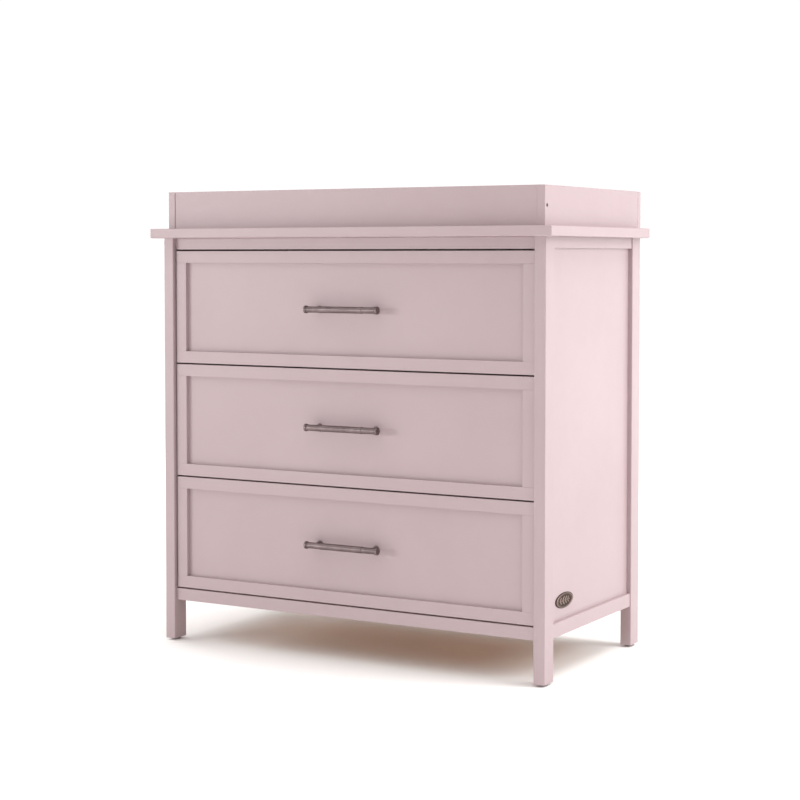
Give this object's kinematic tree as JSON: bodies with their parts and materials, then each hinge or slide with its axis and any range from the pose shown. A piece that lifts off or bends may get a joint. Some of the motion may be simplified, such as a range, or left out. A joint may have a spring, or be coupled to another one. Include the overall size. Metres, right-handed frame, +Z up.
{
  "type": "changing table",
  "caption": "Dresser-style changing table with framed drawers on roller slides, bar handles, post legs and a screwed-on topper that holds a changing pad.",
  "frame": {"origin": "on the floor, under the centre of the whole object's box", "axes": "+Z up, front and drawer handles towards -Y, the user's right towards +X"},
  "size_m": [0.901, 0.476, 0.918],
  "materials": {
    "painted_wood": "satin pale pink paint over solid wood and fibreboard",
    "back_board": "thin hardboard with a matt pink printed face",
    "drawer_wood": "clear-lacquered pale wood",
    "drawer_bottom": "thin hardboard with a pale face",
    "handle_metal": "satin pewter",
    "badge_metal": "dark antique pewter",
    "slide_steel": "white epoxy-coated steel",
    "roller_nylon": "moulded white nylon",
    "glide_plastic": "dark moulded plastic",
    "cam_metal": "die-cast zinc",
    "dark_steel": "black-oxide steel",
    "screw_steel": "zinc-plated steel"
  },
  "bodies": {
    "carcass": {"post_front_left": "painted_wood", "post_front_right": "painted_wood", "post_rear_left": "painted_wood", "post_rear_right": "painted_wood", "side_panel_left": "painted_wood", "side_panel_right": "painted_wood", "side_top_rail_left": "painted_wood", "side_top_rail_right": "painted_wood", "side_bottom_rail_left": "painted_wood", "side_bottom_rail_right": "painted_wood", "front_top_rail": "painted_wood", "front_bottom_rail": "painted_wood", "back_top_rail": "painted_wood", "back_bottom_rail": "painted_wood", "back_panel": "back_board", "top_panel": "painted_wood", "foot_glides": "glide_plastic", "badge": "badge_metal", "cam_locks": "cam_metal", "topper_front": "painted_wood", "topper_back": "painted_wood", "topper_side_left": "painted_wood", "topper_side_right": "painted_wood", "topper_screws": "dark_steel", "cabinet_slides_left": "slide_steel", "cabinet_slides_right": "slide_steel", "cabinet_slide_screws": "screw_steel"},
    "bottom_drawer": {"bottom_drawer_front_frame": "painted_wood", "bottom_drawer_front_panel": "painted_wood", "bottom_drawer_side_left": "drawer_wood", "bottom_drawer_side_right": "drawer_wood", "bottom_drawer_back": "drawer_wood", "bottom_drawer_bottom": "drawer_bottom", "bottom_drawer_slides": "slide_steel", "bottom_drawer_handle": "handle_metal", "bottom_drawer_screws": "screw_steel"},
    "bottom_front_rollers": {"bottom_cabinet_rollers": "roller_nylon"},
    "bottom_rear_rollers": {"bottom_drawer_rollers": "roller_nylon"},
    "middle_drawer": {"middle_drawer_front_frame": "painted_wood", "middle_drawer_front_panel": "painted_wood", "middle_drawer_side_left": "drawer_wood", "middle_drawer_side_right": "drawer_wood", "middle_drawer_back": "drawer_wood", "middle_drawer_bottom": "drawer_bottom", "middle_drawer_slides": "slide_steel", "middle_drawer_handle": "handle_metal", "middle_drawer_screws": "screw_steel"},
    "middle_front_rollers": {"middle_cabinet_rollers": "roller_nylon"},
    "middle_rear_rollers": {"middle_drawer_rollers": "roller_nylon"},
    "top_drawer": {"top_drawer_front_frame": "painted_wood", "top_drawer_front_panel": "painted_wood", "top_drawer_side_left": "drawer_wood", "top_drawer_side_right": "drawer_wood", "top_drawer_back": "drawer_wood", "top_drawer_bottom": "drawer_bottom", "top_drawer_slides": "slide_steel", "top_drawer_handle": "handle_metal", "top_drawer_screws": "screw_steel"},
    "top_front_rollers": {"top_cabinet_rollers": "roller_nylon"},
    "top_rear_rollers": {"top_drawer_rollers": "roller_nylon"}
  },
  "joints": [
    {"name": "bottom_drawer_slide", "type": "slide", "parent": "carcass", "child": "bottom_drawer", "axis": [0, -1, 0], "range_m": [0, 0.26]},
    {"name": "bottom_front_rollers_spin", "type": "hinge", "parent": "carcass", "child": "bottom_front_rollers", "pos_m": [0, -0.1755, 0.12325], "axis": [1, 0, 0], "range_deg": [0, 1624]},
    {"name": "bottom_rear_rollers_spin", "type": "hinge", "parent": "bottom_drawer", "child": "bottom_rear_rollers", "pos_m": [0, 0.1485, 0.12325], "axis": [1, 0, 0], "range_deg": [-1624, 0]},
    {"name": "middle_drawer_slide", "type": "slide", "parent": "carcass", "child": "middle_drawer", "axis": [0, -1, 0], "range_m": [0, 0.26]},
    {"name": "middle_front_rollers_spin", "type": "hinge", "parent": "carcass", "child": "middle_front_rollers", "pos_m": [0, -0.1755, 0.35343], "axis": [1, 0, 0], "range_deg": [0, 1624]},
    {"name": "middle_rear_rollers_spin", "type": "hinge", "parent": "middle_drawer", "child": "middle_rear_rollers", "pos_m": [0, 0.1485, 0.35343], "axis": [1, 0, 0], "range_deg": [-1624, 0]},
    {"name": "top_drawer_slide", "type": "slide", "parent": "carcass", "child": "top_drawer", "axis": [0, -1, 0], "range_m": [0, 0.26]},
    {"name": "top_front_rollers_spin", "type": "hinge", "parent": "carcass", "child": "top_front_rollers", "pos_m": [0, -0.1755, 0.58362], "axis": [1, 0, 0], "range_deg": [0, 1624]},
    {"name": "top_rear_rollers_spin", "type": "hinge", "parent": "top_drawer", "child": "top_rear_rollers", "pos_m": [0, 0.1485, 0.58362], "axis": [1, 0, 0], "range_deg": [-1624, 0]}
  ],
  "couplings": [
    {"joint": "bottom_front_rollers_spin", "follows": "bottom_drawer_slide", "rad_per_m": 108.7},
    {"joint": "bottom_rear_rollers_spin", "follows": "bottom_drawer_slide", "rad_per_m": -108.7},
    {"joint": "middle_front_rollers_spin", "follows": "middle_drawer_slide", "rad_per_m": 108.7},
    {"joint": "middle_rear_rollers_spin", "follows": "middle_drawer_slide", "rad_per_m": -108.7},
    {"joint": "top_front_rollers_spin", "follows": "top_drawer_slide", "rad_per_m": 108.7},
    {"joint": "top_rear_rollers_spin", "follows": "top_drawer_slide", "rad_per_m": -108.7}
  ]
}
